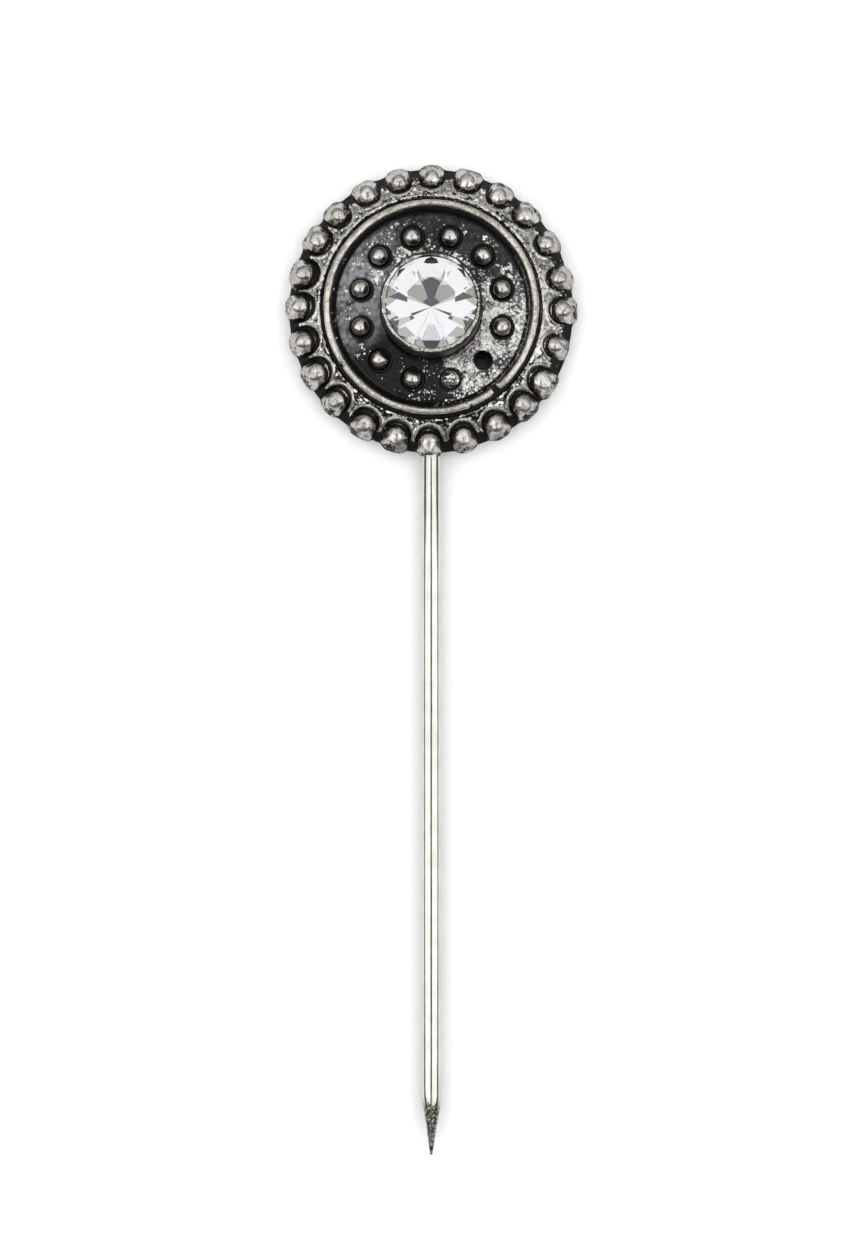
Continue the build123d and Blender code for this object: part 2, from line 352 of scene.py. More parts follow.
def antique(name, bright, shade, patina, grain=0.15, shine=0.3, patina_gloss=0.4, sparkle=0.5,
            pebbles=1.0, haze_glare_and_dulling=None):
    """Worn plating over black patina. The wear is the share of the surface that is bare metal: 1 is all
    bare, 0 is all patina, and between them bright pebbles stand in the patina and catch the light
    each in its own direction. With a glare colour, the second painted value is a painted glare that
    greys the patina; without one it makes the metal darker and rougher."""
    recipe = Recipe(name)
    wear = recipe.painted("wear")
    cells = recipe.grains(grain)
    chance, tone, _ = recipe.node("ShaderNodeSeparateColor", {"Color": cells["Color"]}).outputs
    fine = recipe.noise(grain)
    coarse = recipe.noise(grain * 5)
    plain = 0.45 * (1 - pebbles)
    level = recipe.math("ADD", recipe.scale(chance, plain, plain + 0.5 * pebbles),
                        recipe.math("MULTIPLY", cells["Distance"], 0.6 * pebbles))
    clump = recipe.math("ADD", recipe.scale(fine, -0.35, 0.35), recipe.scale(coarse, -0.5, 0.5))
    level = recipe.math("ADD", level, clump)
    bare = recipe.math("SUBTRACT", recipe.scale(wear, -0.1, 1.3), level)
    bare = recipe.math("ADD", recipe.math("MULTIPLY", bare, 6.0), 0.5, clamp=True)
    tarnish = recipe.weighted((fine, 0.5), (coarse, 0.4), (tone, 0.1))
    loose = recipe.math("MULTIPLY", recipe.math("SUBTRACT", 1.0, wear, clamp=True), 2.0, clamp=True)
    metal = recipe.colours(tarnish, (0.38, shade), (0.6, bright))
    metal = recipe.mix(loose, metal, recipe.colours(tone, (0.1, shade), (0.8, (0.86, 0.85, 0.81))))
    rough = recipe.scale(bare, patina_gloss, shine)
    # Painted glare: a grey painted over the patina where a soft reflection lies.
    if haze_glare_and_dulling:
        patina = recipe.mix(recipe.painted("haze_glare_and_dulling"), patina, haze_glare_and_dulling)
    else:
        # Darker, rougher metal where the mesh asks for it.
        dulling = recipe.painted("haze_glare_and_dulling")
        metal = recipe.mix(recipe.math("MULTIPLY", dulling, 0.75), metal, shade)
        rough = recipe.math("ADD", rough, recipe.math("MULTIPLY", dulling, 0.16))
    recipe.set(Base_Color=recipe.mix(bare, patina, metal), Metallic=bare, Roughness=rough)
    turn = recipe.vector("SUBTRACT", cells["Color"], (0.5, 0.5, 0.5))
    loose = recipe.math("MULTIPLY", loose, bare)
    turn = recipe.vector("SCALE", turn, factor=recipe.math("MULTIPLY", loose, sparkle))
    facing = recipe.vector("ADD", recipe.node("ShaderNodeNewGeometry").outputs["Normal"], turn)
    facing = recipe.vector("NORMALIZE", facing)
    recipe.bump(recipe.weighted((bare, 0.5), (fine, 0.5)), 0.02, 0.5, facing)
    recipe.shader.inputs["Specular IOR Level"].default_value = 0.2
    return recipe.material


def crystal_glass():
    recipe = Recipe("crystal_glass")
    haze_glare_and_dulling = recipe.noise(0.8, detail=3.0)
    colour = recipe.colours(haze_glare_and_dulling, (0.3, (0.97, 0.98, 0.99)), (0.7, (1.0, 1.0, 1.0)))
    recipe.set(Base_Color=colour, Roughness=recipe.scale(haze_glare_and_dulling, 0.0, 0.02), IOR=1.54)
    recipe.shader.inputs["Transmission Weight"].default_value = 1.0
    return recipe.material


def mirror_foil():
    """Silvering that has gone a little grey in specks."""
    recipe = Recipe("mirror_foil")
    grain = recipe.noise(0.07)
    colour = recipe.colours(grain, (0.4, (0.6, 0.62, 0.66)), (0.55, (0.92, 0.92, 0.92)))
    recipe.set(Base_Color=colour, Metallic=1.0, Roughness=recipe.scale(grain, 0.02, 0.1))
    return recipe.material


def polished_steel():
    """Drawn and polished wire. Its wear is 1 on the polished length and 0 on the ground point."""
    recipe = Recipe("polished_steel")
    wear = recipe.painted("wear")
    draw = recipe.noise(0.05, stretch=(1.0, 0.02, 1.0))
    grind = recipe.noise(0.13, detail=3.0, rough=0.75)
    cloud = recipe.noise(1.5)
    shine = recipe.weighted((draw, 0.5), (cloud, 0.5))
    polished = recipe.colours(shine, (0.35, (0.56, 0.55, 0.5)), (0.6, (0.7, 0.69, 0.65)))
    ground = recipe.colours(grind, (0.46, (0.035, 0.032, 0.025)), (0.6, (0.6, 0.58, 0.52)))
    rough = recipe.math("MULTIPLY", recipe.math("SUBTRACT", 1.0, wear), 0.12)
    recipe.set(
        Base_Color=recipe.mix(wear, ground, polished),
        Metallic=1.0,
        Roughness=recipe.math("ADD", rough, recipe.scale(shine, 0.05, 0.14)),
    )
    recipe.bump(recipe.weighted((grind, recipe.scale(wear, 1.0, 0.0)), (draw, 0.05)), 0.03, 0.6)
    return recipe.material


def brushed_plate():
    """Brushed on its outer face and black on the face that closes the hollow."""
    recipe = Recipe("brushed_plate")
    brush = recipe.noise(0.12, detail=3.0, stretch=(0.05, 1.0, 1.0))
    stain = recipe.noise(3.0, detail=3.0)
    height = recipe.node("ShaderNodeSeparateXYZ", {"Vector": recipe.place}).outputs["Z"]
    inside = recipe.math("GREATER_THAN", height, (plate_top - 0.02) * MM)
    metal = recipe.mix(
        recipe.math("MULTIPLY", stain, 0.6),
        recipe.colours(brush, (0.3, (0.4, 0.39, 0.36)), (0.7, (0.62, 0.6, 0.56))),
        (0.2, 0.18, 0.15),
    )
    recipe.set(
        Base_Color=recipe.mix(inside, metal, BLACK),
        Metallic=recipe.math("SUBTRACT", 1.0, inside),
        Roughness=recipe.scale(brush, 0.28, 0.45),
    )
    recipe.bump(brush, 0.006, 0.5)
    return recipe.material


def plain_mottled(name, dark, light, metallic, rough):
    """A quiet finish for the pieces that the assembly hides."""
    recipe = Recipe(name)
    cloud = recipe.noise(0.4, detail=3.0)
    colour = recipe.colours(cloud, (0.35, dark), (0.65, light))
    rough = recipe.scale(cloud, rough - 0.08, rough + 0.08)
    recipe.set(Base_Color=colour, Metallic=metallic, Roughness=rough)
    recipe.bump(cloud, 0.02, 0.4)
    return recipe.material


def white_floor():
    recipe = Recipe("white_floor")
    paper = recipe.noise(0.6, detail=3.0)
    colour = recipe.colours(paper, (0.3, (0.9, 0.9, 0.9)), (0.7, (0.93, 0.93, 0.93)))
    recipe.set(Base_Color=colour, Roughness=0.9)
    recipe.shader.inputs["Specular IOR Level"].default_value = 0.1
    return recipe.material


BLACK = (0.004, 0.004, 0.0035)
head_metal = antique("head_metal", (0.74, 0.72, 0.66), (0.34, 0.325, 0.295), BLACK, grain=0.19, shine=0.25)
ring_metal = antique("ring_metal", (0.8, 0.76, 0.68), (0.34, 0.31, 0.27), BLACK, shine=0.34, pebbles=0.3)
stud_metal = antique("stud_metal", (0.68, 0.66, 0.61), (0.46, 0.44, 0.4), BLACK, shine=0.23, pebbles=0.4)
cup_metal = antique("cup_metal", (0.5, 0.45, 0.39), (0.24, 0.205, 0.175), (0.02, 0.015, 0.012), shine=0.28,
                    pebbles=0.1, sparkle=0.1)
# The enamel's grey second colour is a painted glare: a soft reflection painted onto the black enamel.
enamel = antique("field_enamel", (0.68, 0.66, 0.63), (0.3, 0.29, 0.28), (0.004, 0.004, 0.0045), grain=0.16,
                 patina_gloss=0.2, haze_glare_and_dulling=(0.24, 0.24, 0.245))


def finish_piece(obj, material, slot, *nodes):
    """Gives a piece its material and its body, and hides the CAD nodes that it stands for. The slot is not
    used.
    """
    obj.data.materials.append(material)
    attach(obj, "root")
    if nodes:
        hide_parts(*nodes)
    return obj


def repaint(node, material):
    """A carried-over CAD node gets a finer material."""
    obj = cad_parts[node]
    obj.data.materials.clear()
    obj.data.materials.append(material)


# ---- head border
LOBES = 24
LOBE_TURN = 0.8              # degrees that the whole border is turned
SHAFT_LOBE = 12              # the lobe that runs out over the shaft
SHAFT_LOBE_STRETCH = 1.65
LOBE_BALL = 0.69
LOBE_TOP = land_z - 0.12
LOBE_CENTRE = 8.5
LOBE_BASE = 1.12
LOBE_SHOULDER = 0.5          # where the ball passes into the cone
LOBE_DRAFT = 1.75            # the cone's slope
LOBE_SPREAD = 0.08           # how much wider the lobe grows in each millimetre outwards
FOOT_RADIUS = 9.3            # where the outline crosses the lobes' feet
RIM_RADIUS = 9.24
RIM_Z = 0.9
MOAT_DEPTH = 0.42
LIP_AWAY = 0.1               # from the moat's edge to the crest of its lip
LIP_HEIGHT = 0.15
LINE_RADIUS = 7.27           # the bright line at the land's inner edge
THREAD_RADIUS = 6.33         # a thread of light on the recess wall
BORDER_INNER = field_radius - 0.03
BORDER_STEPS = 1152
BORDER_ROWS = 72

# What changes round the border, as stops of (clock angle, value).
LOBE_STRETCH = ((0, 1.12), (90, 1.18), (130, 1.3), (180, 1.35), (230, 1.3), (270, 1.18))
MOAT_EDGE = ((0, 0.82), (80, 0.86), (150, 0.92), (190, 0.93), (235, 0.98), (270, 1.05), (300, 0.97),
             (335, 0.84))
CRESCENTS = ((0, 0.5), (60, 0.3), (110, 1.0), (180, 1.0), (235, 1.0), (260, 0.4), (300, 0.5))
LAND_START = ((0, 7.06), (90, 7.04), (130, 7.14), (230, 7.14), (270, 7.09), (315, 7.09))
LAND_WEAR = ((0, 0.53), (45, 0.58), (90, 0.68), (115, 0.58), (135, 0.4), (180, 0.4), (225, 0.35),
             (255, 0.5), (270, 0.58), (315, 0.55))
LINE_WEAR = ((0, 0.7), (60, 0.72), (100, 0.7), (135, 0.5), (220, 0.5), (270, 0.85), (315, 0.85))
SKIRT_WEAR = ((0, 0.7), (90, 0.68), (125, 0.56), (150, 0.55), (180, 0.58), (220, 0.62), (270, 0.74))
WALL_WEAR = ((0, 0.02), (60, 0.08), (95, 0.3), (170, 0.26), (205, 0.06), (270, 0.2), (320, 0.06))
# How much darker and rougher the lobes' outer sides are, round the head.
LOBE_DULLING = ((0, 0.9), (45, 0.75), (90, 0.9), (135, 1.0), (180, 0.9), (225, 0.7), (270, 0.6),
              (315, 0.9))


def lobe_table():
    """Each lobe's clock angle, centre radius, size, height and stretch, with the casting's faults."""
    draw = np.random.default_rng(11)
    clock = clocks_round(LOBES) + LOBE_TURN + draw.uniform(-0.7, 0.7, LOBES)
    centre = LOBE_CENTRE + draw.uniform(-0.06, 0.04, LOBES)
    size = 1 + draw.uniform(-0.05, 0.05, LOBES)
    top = LOBE_TOP + draw.uniform(-0.08, 0.04, LOBES)
    stretch = by_clock(clock, LOBE_STRETCH)
    stretch[SHAFT_LOBE] = SHAFT_LOBE_STRETCH
    # One lobe is small and sits far in, and the next one is large.
    clock[7] += 1.2
    centre[7] -= 0.16
    size[7] = 0.88
    clock[8] += 1.4
    centre[8] += 0.06
    size[8] = 1.06
    return clock, centre, size, top, stretch


def border_base(radius):
    """Height of the border without its lobes: recess wall, land, ring groove, lip and slope."""
    radii = (BORDER_INNER, 6.22, 6.4, 6.46, 6.95, 7.03, 7.1, 7.19, 7.3, 8.2, RIM_RADIUS, 9.7)
    heights = (field_z - 0.02, field_z, land_z - 0.05, land_z - 0.04, land_z - 0.05, land_z - 0.13,
               land_z - 0.13, land_z, land_z, 1.86, RIM_Z + 0.12, 0.6)
    return np.interp(radius, radii, heights)


def border_outline(clock, gap, centre, size):
    """Radius of the head's edge. It follows the lobes' feet and dips to the rim between them."""
    across = FOOT_RADIUS * np.sin(gap)
    reach = centre + np.sqrt(np.clip((LOBE_BASE * size) ** 2 - across**2, 0, None))
    rim = RIM_RADIUS + 0.04 * noise(on_clock(9.0, clock), 1.4, 3)
    return -smooth_max(-smooth_max(reach, rim, 18), -head_radius, 40)


class Border:
    """The border's face as a grid, with rows outwards and columns round the head. outwards is each
    point's distance from the middle of its lobe along the radius, with the outer side drawn in by the
    lobe's stretch, and away is its distance in all, over the lobe's size."""

    def __init__(self):
        lobe_clock, *lobe_values = lobe_table()
        self.clock = clocks_round(BORDER_STEPS)
        nearest = np.argmin(abs(clock_gap(self.clock[:, None], lobe_clock[None, :])), axis=1)
        gap = np.radians(clock_gap(self.clock, lobe_clock[nearest]))
        centre, size, self.lobe_top, stretch = (values[nearest] for values in lobe_values)
        self.outline = border_outline(self.clock, gap, centre, size)

        # The rows are closer together near the steep outer side.
        step = np.linspace(0, 1, BORDER_ROWS)
        self.step = step + 0.05 * np.sin(pi * step)
        self.radius = BORDER_INNER + (self.outline[None, :] - BORDER_INNER) * self.step[:, None]
        self.flat = on_clock(self.radius, self.clock)
        self.wobble = 0.02 * noise(self.flat, 0.9, 5)

        outwards = self.radius * np.cos(gap) - centre
        sideways = self.radius * np.sin(gap) / (1 + LOBE_SPREAD * np.clip(outwards, 0, 1.1))
        self.outwards = np.where(outwards > 0, outwards / stretch, outwards)
        self.away = np.hypot(self.outwards, sideways) / size
        self.moat_edge = by_clock(self.clock, MOAT_EDGE) + 0.03 * noise(self.flat, 0.8, 7)
        self.inner_side = ramp(self.outwards, 0.6, 0.25)
        self.far_out = ramp(self.outwards, 0.25, 0.6)
        self.lip_side = ramp(self.outwards, 0.2, -0.25)

    def height(self):
        """Height of the land with its moats and lips, and of the lobes."""
        flat, away = self.flat, self.away
        height = border_base(self.radius + self.wobble)
        height = height + 0.05 * noise(flat, 1.3, 6) * ramp(self.radius, 7.3, 7.8)
        moat = ramp(away, self.moat_edge + 0.02, self.moat_edge - 0.06) * self.inner_side
        lip = ridge(away - self.moat_edge, LIP_AWAY, 0.085) * self.lip_side
        height = height - MOAT_DEPTH * moat + LIP_HEIGHT * by_clock(self.clock, CRESCENTS) * lip

        ball = np.sqrt(np.clip(LOBE_BALL**2 - away**2, 0.001, None))
        shoulder = np.sqrt(LOBE_BALL**2 - LOBE_SHOULDER**2)
        cone = shoulder - LOBE_DRAFT * (away - LOBE_SHOULDER)
        lobe = self.lobe_top - LOBE_BALL + np.where(away < LOBE_SHOULDER, ball, cone)
        lobe = lobe + 0.02 * noise(flat, 0.35, 8) + 0.035 * noise(flat, 0.8, 9)
        height = smooth_max(height, lobe, 30) + 0.006 * noise(flat, 0.14, 10)
        edge = ramp(self.step, 0.95, 1.0)[:, None]
        foot = np.clip(height, RIM_Z - 0.05, RIM_Z + 0.22) + 0.04 * noise(flat, 0.8, 12)
        return height * (1 - edge) + foot * edge

    def wear(self, height):
        """The share of bare metal: bright lobes and lips, black moats, grains on the land between."""
        flat, radius, away, moat_edge = self.flat, self.radius, self.away, self.moat_edge
        shifts = range(-12, 13, 3)
        blurred = sum(np.roll(height, shift, axis=1) for shift in shifts) / len(shifts)
        convex = np.clip((height - blurred) * 3, -0.2, 0.12)
        land = by_clock(self.clock, LAND_WEAR) + 0.12 * noise(flat, 1.1, 13)
        land = land + 0.3 * noise(flat, 0.9, 15) * ramp(radius, 8.5, 9.1)
        land = land - 0.32 * ramp(radius, 8.4, 8.8)
        bare = np.maximum(land + convex, by_clock(self.clock, LINE_WEAR) * ridge(radius, LINE_RADIUS, 0.07))
        land_start = by_clock(self.clock, LAND_START)
        bare = bare * ramp(radius + 0.4 * self.wobble, land_start, land_start + 0.06)
        bare = bare * (1 - ramp(away, moat_edge + 0.01, moat_edge - 0.06) * self.inner_side)

        bright_lip = ramp(abs(away - moat_edge - LIP_AWAY), 0.14, 0.06) * self.lip_side
        bare = np.maximum(bare, (0.35 + 0.6 * by_clock(self.clock, CRESCENTS)) * bright_lip)
        outness = np.clip(self.outwards / np.maximum(away, 0.01), 0, 1) ** 2
        on_lobe = ramp(away, 0.8 + 0.7 * outness, 0.66 + 0.7 * outness)
        skirt = by_clock(self.clock, SKIRT_WEAR) - 0.2 * ramp(radius, 9.15, 9.4)
        cover = 0.97 * (1 - self.far_out) + (skirt + 0.2 * noise(flat, 0.5, 16)) * self.far_out
        bare = np.maximum(bare, on_lobe * (cover + 0.06 * noise(flat, 0.5, 14)))

        wall = ramp(radius, 6.5, 6.4)
        bare = bare * (1 - wall) + by_clock(self.clock, WALL_WEAR) * wall
        thread = ridge(radius, THREAD_RADIUS, 0.045) * span(self.clock, 60, 145, 6)
        return np.maximum(bare, 0.8 * thread)

    def dulling(self):
        """Darker, rougher metal on the lobes' outer sides and the head's edge."""
        on_lobe = by_clock(self.clock, LOBE_DULLING) * self.far_out
        on_edge = 0.35 * ramp(self.radius, 8.4, 8.9)
        return np.maximum(on_lobe, on_edge) + 0.15 * noise(self.flat, 0.5, 17)


def head_border():
    """The border's face, the head's side and the hollow behind the web, as one closed shape."""
    border = Border()
    height = border.height()
    rim_z = height[-1]
    cavity_top = plate_top + 0.005
    # Radius, height and share of bare metal, from the edge round to the web's underside.
    rows = (
        (border.outline - 0.01, rim_z * 0.8, 0.6),
        (border.outline - 0.06, rim_z * 0.52, 0.5),
        (border.outline - 0.16, rim_z * 0.25, 0.55),
        (border.outline - 0.28, 0.06, 0.75),
        (border.outline - 0.38, 0.0, 0.85),
        (plate_radius + 0.03, 0.0, 0.85),
        (plate_radius + 0.03, cavity_top, 0.05),
        (CAVITY_RADIUS, cavity_top, 0.05),
        (CAVITY_RADIUS, web_under, 0.05),
        (BORDER_INNER, web_under, 0.05),
    )
    face = on_clock(border.radius, border.clock, height)
    points = np.concatenate([face, [on_clock(radius, border.clock, z) for radius, z, _ in rows]])
    bare = np.concatenate([border.wear(height), [np.full(BORDER_STEPS, share) for *_, share in rows]])
    # Darker, rougher metal on the lobes' outer sides, the head's edge, its side and its underside.
    dulling = np.concatenate([border.dulling(), np.full((len(rows), BORDER_STEPS), 0.6)])
    faces = grid_faces(*points.shape[:2], wrap_rows=True)
    return outward(add_mesh("head_border", points, faces, bare, haze_glare_and_dulling=dulling))


# ---- field plates with stud holes
LATTICE_ROW = 0.866          # between rows of a triangular lattice, in spacings
WELL_DRIFT = np.array([0.75, -0.65])

# What changes round the field, as stops of (clock angle, value).
WELL_SHIFT = ((45, 0.0), (135, 0.0), (195, 0.05), (255, 0.1), (285, 0.1), (345, 0.02))
ENAMEL_WEAR = ((0, 0.2), (30, 0.26), (60, 0.26), (76, 0.46), (92, 0.64), (110, 0.52), (122, 0.6),
               (150, 0.6), (163, 0.52), (172, 0.22), (200, 0.14), (235, 0.14), (270, 0.24), (300, 0.28),
               (330, 0.32), (345, 0.24))
# Strength of the painted glare on the enamel: a grey reflection painted into it, strongest on the left.
ENAMEL_PAINTED_GLARE = ((0, 0.06), (60, 0.08), (80, 0.3), (150, 0.15), (168, 0.02), (236, 0.0), (248, 0.45),
                (270, 0.7), (300, 0.66), (318, 0.36), (335, 0.14), (350, 0.06))
# Patches with more or less wear: clock angle, radius, size and what they add.
WORN_PATCHES = ((128, 5.4, 0.8, -0.1), (150, 5.3, 0.9, -0.05), (166, 4.2, 0.5, 0.25), (95, 4.1, 0.6, 0.2),
                (76, 3.9, 0.35, 0.3), (116, 3.9, 0.5, 0.2), (300, 4.0, 0.5, 0.25), (25, 3.7, 0.4, 0.2),
                (185, 5.6, 0.5, 0.16))


def disc_points(holes, inner, outer, spacing):
    """Flat points of a pierced ring: loops on its edges and round its holes, a loose lattice between."""
    draw = np.random.default_rng(21)
    loops = [circle(r, int(2 * pi * r / spacing)) for r in (inner, outer)]
    for centre, hole in holes:
        for grow, count in ((0.0, 72), (0.04, 72), (0.09, 60)):
            loops.append(centre + circle(hole + grow, count))
    count = int(2 * outer / spacing)
    x, y = np.meshgrid(np.arange(-count, count), np.arange(-count, count))
    lattice = np.stack([(x + 0.5 * (y % 2)) * spacing, y * spacing * LATTICE_ROW], axis=-1).reshape(-1, 2)
    lattice = lattice + draw.uniform(-0.15, 0.15, lattice.shape) * spacing
    radius = np.hypot(*lattice.T)
    keep = (radius > inner + spacing * 0.5) & (radius < outer - spacing * 0.5)
    for centre, hole in holes:
        keep &= np.hypot(*(lattice - centre).T) > hole + 0.12
    return np.concatenate([*loops, lattice[keep]])


def triangles(flat, holes, inner, outer):
    """Triangles between the flat points, without those in the holes, and the points that they use."""
    corners, _, faces, *_ = delaunay_2d_cdt([Vector(p) for p in flat], [], [], 0, 1e-6)
    flat = np.array([tuple(c) for c in corners])
    faces = np.array([list(f) for f in faces])
    middle = flat[faces].mean(axis=1)
    radius = np.hypot(*middle.T)
    keep = (radius > inner) & (radius < outer)
    for centre, hole in holes:
        keep &= np.hypot(*(middle - centre).T) > hole * 0.999
    used, faces = np.unique(faces[keep], return_inverse=True)
    return flat[used], faces.reshape(-1, 3)


def pierced_disc(name, holes, inner, outer, spacing, top, bottom, wear, haze_glare_and_dulling=None):
    """A flat ring with a round hole at each (centre, radius). top and bottom give each point's heights."""
    flat, faces = triangles(disc_points(holes, inner, outer, spacing), holes, inner, outer)
    edges = np.concatenate([faces[:, [0, 1]], faces[:, [1, 2]], faces[:, [2, 0]]])
    _, where, times = np.unique(np.sort(edges, axis=1), axis=0, return_index=True, return_counts=True)
    count = len(flat)
    walls = [(a, b, b + count, a + count) for a, b in edges[where[times == 1]]]
    points = np.concatenate([np.column_stack([flat, top(flat)]), np.column_stack([flat, bottom(flat)])])
    every = faces.tolist() + (faces[:, ::-1] + count).tolist() + walls
    # The painted glare for each point, when one is given.
    painted_glare = np.tile(haze_glare_and_dulling(flat), 2) if haze_glare_and_dulling else None
    return outward(add_mesh(name, points, every, np.tile(wear(flat), 2), haze_glare_and_dulling=painted_glare))


def everywhere(value):
    """The same value at every flat point."""
    return lambda flat: np.full(len(flat), value)


def wells():
    """Centre and radius of the wells in the enamel round the studs. On the left they sit a little off, down
    and to the right. Enamel has run into the lost stud's hole and narrowed it."""
    made = []
    for place in range(1, STUD_PLACES + 1):
        shift = by_clock(stud_clock(place), WELL_SHIFT)
        radius = LOST_WELL_RADIUS if place == LOST_STUD else MOAT_RADIUS - 0.02
        made.append((stud_centre(place) + shift * WELL_DRIFT, radius))
    return made


def well_distance(flat):
    """Distance from each point to the nearest well's edge."""
    return np.min([np.hypot(*(flat - centre).T) - radius for centre, radius in wells()], axis=0)


def field_clock(flat):
    return np.degrees(np.arctan2(flat[:, 0], flat[:, 1])) % 360


def patch(flat, clock, radius, size):
    """A soft round patch on the field, 1 at its middle."""
    middle = on_clock(radius, clock)[:2]
    return np.exp(-np.sum((flat - middle) ** 2, axis=1) / size**2)


def enamel_top(flat):
    radius = np.hypot(*flat.T)
    height = enamel_z - 0.02 + 0.012 * noise(level(flat), 0.9, 31) + 0.005 * noise(level(flat), 0.2, 32)
    height = height - 0.07 * ramp(well_distance(flat), 0.12, 0.0)
    height = height - 0.05 * ramp(radius, field_radius - 0.25, field_radius)
    return np.clip(height, None, enamel_z + 0.01)


def enamel_wear(flat):
    """Where the enamel is worn through to silver."""
    clock = field_clock(flat)
    radius = np.hypot(*flat.T)
    bare = by_clock(clock, ENAMEL_WEAR)
    bare = bare + 0.12 * span(clock, -50, 60, 14) * ramp(radius, 4.7, 3.7)
    for at, middle, size, more in WORN_PATCHES:
        bare = bare + more * patch(flat, at, middle, size)
    bare = bare + 0.12 * noise(level(flat), 0.7, 33)
    crushed = np.hypot(*(flat - stud_centre(CRUSHED_STUD)).T)
    bare = bare - 0.6 * ramp(well_distance(flat), 0.14, 0.02) * ramp(crushed, 0.9, 1.1)
    return bare - 0.4 * ramp(radius, field_radius - 0.3, field_radius - 0.05) * span(clock, -140, 70, 10)


def enamel_painted_glare(flat):
    """A painted glare on the enamel: a grey reflection painted into its colour, strongest on the left."""
    place = level(flat)
    mottle = 1 + 0.35 * noise(place, 1.1, 34) + 0.25 * noise(place * [1.0, 4.0, 1.0], 0.5, 35)
    painted_glare = by_clock(field_clock(flat), ENAMEL_PAINTED_GLARE) * (mottle + 0.8 * noise(place, 0.2, 36))
    return painted_glare * ramp(well_distance(flat), 0.0, 0.16)


def field_pieces():
    """The enamel coat and the web of silver under it."""
    coat = pierced_disc("field_enamel_coat", wells(), cup_radius + 0.03, field_radius - 0.01, 0.075,
                        enamel_top, everywhere(field_z + 0.004), enamel_wear, enamel_painted_glare)
    holes = [(stud_centre(place), HOLE_RADIUS) for place in range(1, STUD_PLACES + 1)]
    web = pierced_disc("head_web", holes, cup_radius - 0.05, BORDER_INNER + 0.02, 0.3,
                       everywhere(field_z), everywhere(web_under), everywhere(0.03))
    return coat, web


# ---- field ring
RING_GAP_CLOCK = 142.0
RING_GAP = 1.3               # degrees, half of the gap
RING_STEPS = 900
RING_SIDES = 24


def field_ring():
    """The split wire: slightly uneven, flattened on top, with bent ends at its gap."""
    clock = np.linspace(RING_GAP_CLOCK + RING_GAP, RING_GAP_CLOCK + 360 - RING_GAP, RING_STEPS)
    from_end = np.minimum(clock - clock[0], clock[-1] - clock)
    middle = on_clock(ring_radius, clock, ring_z)
    radius = ring_radius + 0.025 * noise(middle, 1.6, 41) - 0.06 * ramp(from_end, 3.5, 0)
    kink = ridge(clock_gap(clock, 237), 0, 1.2) + 0.8 * ridge(clock_gap(clock, 158), 0, 0.9)
    radius = radius - 0.05 * kink
    width = (ring_wire_radius - 0.02) * (1 + 0.07 * noise(middle, 0.7, 42) - 0.25 * kink)
    width = width * ramp(from_end, -1.2, 1.2)
    angle = np.linspace(0, 2 * pi, RING_SIDES, endpoint=False)
    across = radius[:, None] + width[:, None] * np.cos(angle)[None, :]
    height = ring_z + width[:, None] * np.sin(angle)[None, :]
    points = on_clock(across, clock[:, None], height)
    points = points + 0.008 * noise(points, 0.2, 43)[..., None] * np.array([0, 0, 1])
    points[..., 2] = np.clip(points[..., 2], ring_low[2], ring_high[2])
    bare = 0.1 + 0.9 * ramp(np.sin(angle), 0.3, 0.75)[None, :] + 0.1 * noise(points, 0.5, 44)
    bare = bare - 0.4 * kink[:, None]
    return closed_turn("field_ring_wire", points, bare)


# ---- bead studs
STUD_STEPS = 64
# Clock angle, distance and size of the crushed stud's lumps.
CRUSHED_LUMPS = ((250, 0.34, 0.17), (20, 0.32, 0.15), (140, 0.25, 0.16))


def bead_stud(place):
    """A ball-ended pin with small casting faults and a flange behind the web."""
    low, high = studs[place]
    centre = (low + high)[:2] / 2
    top = high[2]
    flange = (high[0] - low[0]) / 2
    under = [(0.02, low[2]), (flange - 0.04, low[2]), (flange, low[2] + 0.04), (flange, web_under - 0.04),
             (flange - 0.04, web_under), (BEAD_RADIUS - 0.03, web_under)]
    if place == CRUSHED_STUD:
        rise = top - field_z
        angles = np.linspace(0, pi / 2 - 0.03, 26)
        cap = [(BEAD_RADIUS * cos(a), field_z + rise * 0.75 * sin(a)) for a in angles]
    else:
        cap = arc_points((0, top - BEAD_RADIUS), BEAD_RADIUS, -0.5, pi / 2 - 0.03, 34)
        under[-1] = (BEAD_RADIUS * cos(0.5), web_under)
    points = turned(under + cap, clocks_round(STUD_STEPS), centre)
    above = ramp(points[..., 2], field_z, field_z + 0.2)
    if place == CRUSHED_STUD:
        lump = 0.0
        for at, away, size in CRUSHED_LUMPS:
            spot = centre + on_clock(away, at)[:2]
            lump = lump + np.exp(-np.sum((points[..., :2] - spot) ** 2, axis=-1) / size**2)
        points[..., 2] += above * (0.16 * lump - 0.06 + 0.06 * noise(points, 0.2, 51))
        bare = 0.5 + 0.12 * lump + 0.15 * noise(points, 0.25, 52)
    else:
        away = points[..., :2] - centre
        fault = 0.018 * noise(points, 0.45, 60 + place) + 0.006 * noise(points, 0.15, 80 + place)
        points[..., :2] += away * (fault * above)[..., None]
        points[..., 2] += fault * above
        bare = 0.1 + 0.88 * ramp(points[..., 2], top - BEAD_RADIUS * 0.95, top - BEAD_RADIUS * 0.6)
        bare = bare + 0.06 * noise(points, 0.4, 100 + place)
    points[..., 2] = np.minimum(points[..., 2], top)
    return closed_turn(f"bead_{place:02d}", points, bare)


# ---- stone cup
CUP_STEPS = 192
CUP_LIP_REACH = 0.1          # over the stone's edge
CUP_WALL = 0.2
CUP_FLOOR = 0.4              # under the middle of the seat
SEAT_SLOPE = 0.803
HUB_RADIUS = 1.5
LIP_ROUND = 0.16
LIP_WEAR = ((0, 0.26), (50, 0.22), (95, 0.45), (135, 1.0), (180, 0.6), (225, 0.55), (270, 0.85), (315, 0.2))


